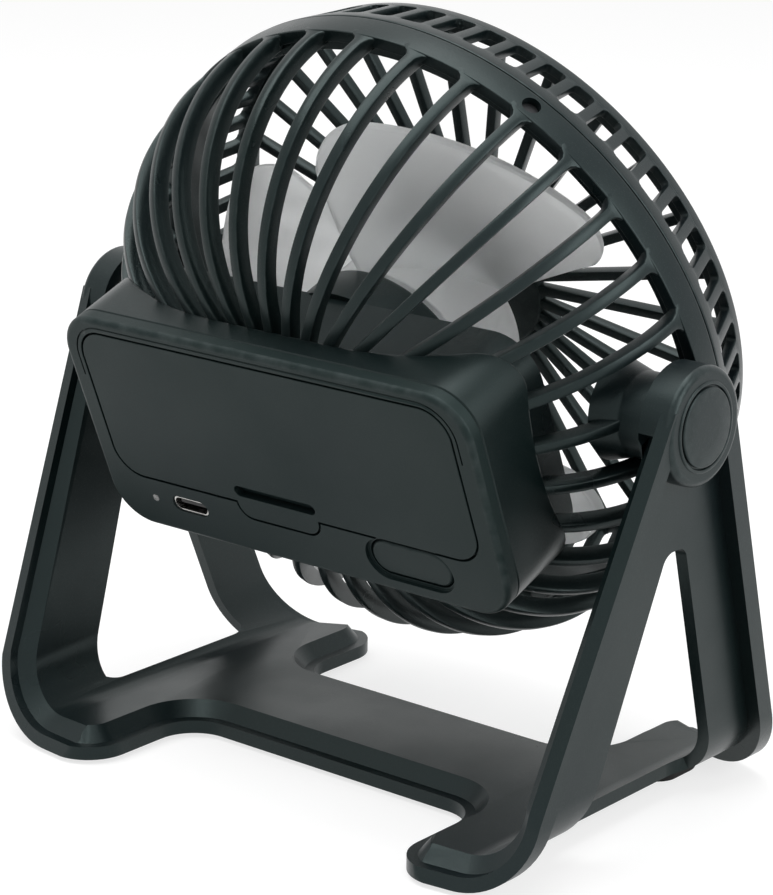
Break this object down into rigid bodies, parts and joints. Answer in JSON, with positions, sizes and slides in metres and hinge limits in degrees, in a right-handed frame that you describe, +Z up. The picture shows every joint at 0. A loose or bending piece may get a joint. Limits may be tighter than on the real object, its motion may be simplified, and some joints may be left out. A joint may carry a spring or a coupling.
{
  "type": "desk fan",
  "caption": "Small rechargeable desk fan with a domed rib cage, slotted front grille and battery housing, tilting between the arms of a folded A-frame stand.",
  "frame": {"origin": "On the table, midway between the two arms and below the middle of the whole fan's depth.", "axes": "+Z up; X along the tilt axis, across the fan; the fan blows toward -Y and its battery housing faces +Y."},
  "size_m": [0.1472, 0.0968, 0.1492],
  "materials": {
    "black_plastic": "satin moulded black plastic",
    "cover_plastic": "finely grained matte black plastic",
    "badge_plastic": "plain smooth black disc",
    "smoky_plastic": "translucent smoky grey plastic",
    "pad_rubber": "soft black rubber",
    "steel": "zinc plated steel",
    "socket_metal": "drawn steel shell",
    "copper": "copper windings on a steel core",
    "bronze": "sintered bronze and sprung brass",
    "magnet": "grey ferrite",
    "cell_sleeve": "sleeved rechargeable cell",
    "tray_plastic": "black moulded tray",
    "board_laminate": "green glass fibre laminate",
    "switch_plastic": "black switch plastic",
    "clear_plastic": "clear light guide",
    "washer_nylon": "natural nylon"
  },
  "bodies": {
    "stand": {"stand": "black_plastic", "foot_pads": "pad_rubber", "pivot_cap_left": "black_plastic", "pivot_cap_right": "black_plastic", "friction_washers": "washer_nylon"},
    "head": {"rear_cage": "black_plastic", "front_grille": "black_plastic", "rear_cover": "cover_plastic", "grille_badge": "badge_plastic", "ring_screws": "steel", "motor_can": "steel", "motor_end_cap": "steel", "motor_screws": "steel", "cover_screws": "steel", "board_screws": "steel", "pivot_screws": "steel", "pivot_washers": "steel", "charge_socket": "socket_metal", "bearing_front": "bronze", "bearing_rear": "bronze", "battery_contact_positive": "bronze", "battery_contact_negative": "bronze", "motor_magnet": "magnet", "battery_cell": "cell_sleeve", "battery_tray": "tray_plastic", "circuit_board": "board_laminate", "socket_tongue": "switch_plastic", "push_switch": "switch_plastic", "light_pipe": "clear_plastic", "status_led": "clear_plastic"},
    "rotor": {"impeller": "smoky_plastic", "motor_shaft": "steel", "motor_armature": "copper"},
    "button": {"power_button": "cover_plastic"},
    "door": {"battery_door": "cover_plastic"}
  },
  "joints": [
    {"name": "head_tilt", "type": "hinge", "parent": "stand", "child": "head", "pos_m": [0, 0.00317, 0.0818], "axis": [1, 0, 0], "continuous": true},
    {"name": "impeller_spin", "type": "hinge", "parent": "head", "child": "rotor", "pos_m": [0, 0.00317, 0.0818], "axis": [0, 0.9304, -0.3665], "continuous": true},
    {"name": "power_button_press", "type": "slide", "parent": "head", "child": "button", "axis": [0, -0.9304, 0.3665], "range_m": [0, 0.0006], "stiffness_N_per_m": 600},
    {"name": "battery_door_lift", "type": "slide", "parent": "head", "child": "door", "axis": [0, 0.9304, -0.3665], "range_m": [0, 0.03]}
  ]
}
